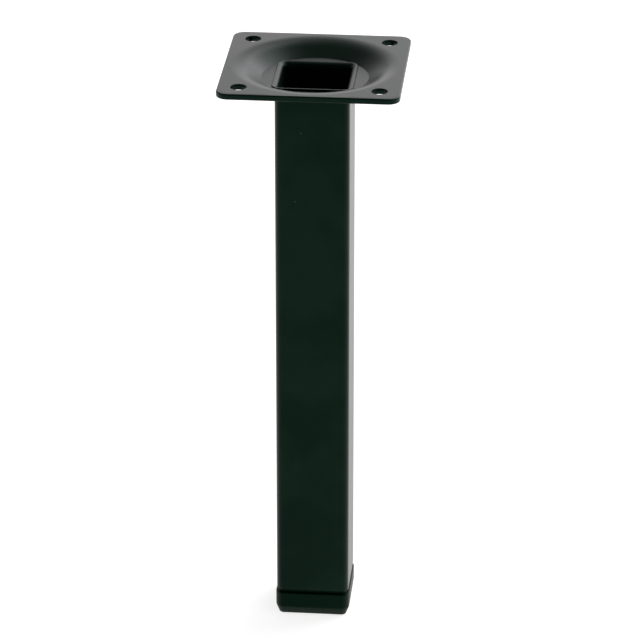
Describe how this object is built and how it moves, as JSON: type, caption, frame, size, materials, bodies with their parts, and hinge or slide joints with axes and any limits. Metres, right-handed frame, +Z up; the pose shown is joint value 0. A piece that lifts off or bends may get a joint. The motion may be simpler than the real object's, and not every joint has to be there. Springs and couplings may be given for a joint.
{
  "type": "furniture leg",
  "caption": "Square steel furniture leg with a dished screw-on mounting plate at the top and a push-in plastic foot.",
  "frame": {"origin": "middle of the foot's underside, where the leg stands on the floor", "axes": "+Z up along the leg to the mounting plate; X and Y square to the tube's sides, with the picture's front side at -Y"},
  "size_m": [0.06, 0.06, 0.2],
  "materials": {
    "black_powder_coat": "satin",
    "black_plastic": "satin"
  },
  "bodies": {
    "root": {"mounting_plate": "black_powder_coat", "square_tube": "black_powder_coat", "weld_seam": "black_powder_coat", "end_cap": "black_plastic"}
  },
  "joints": []
}
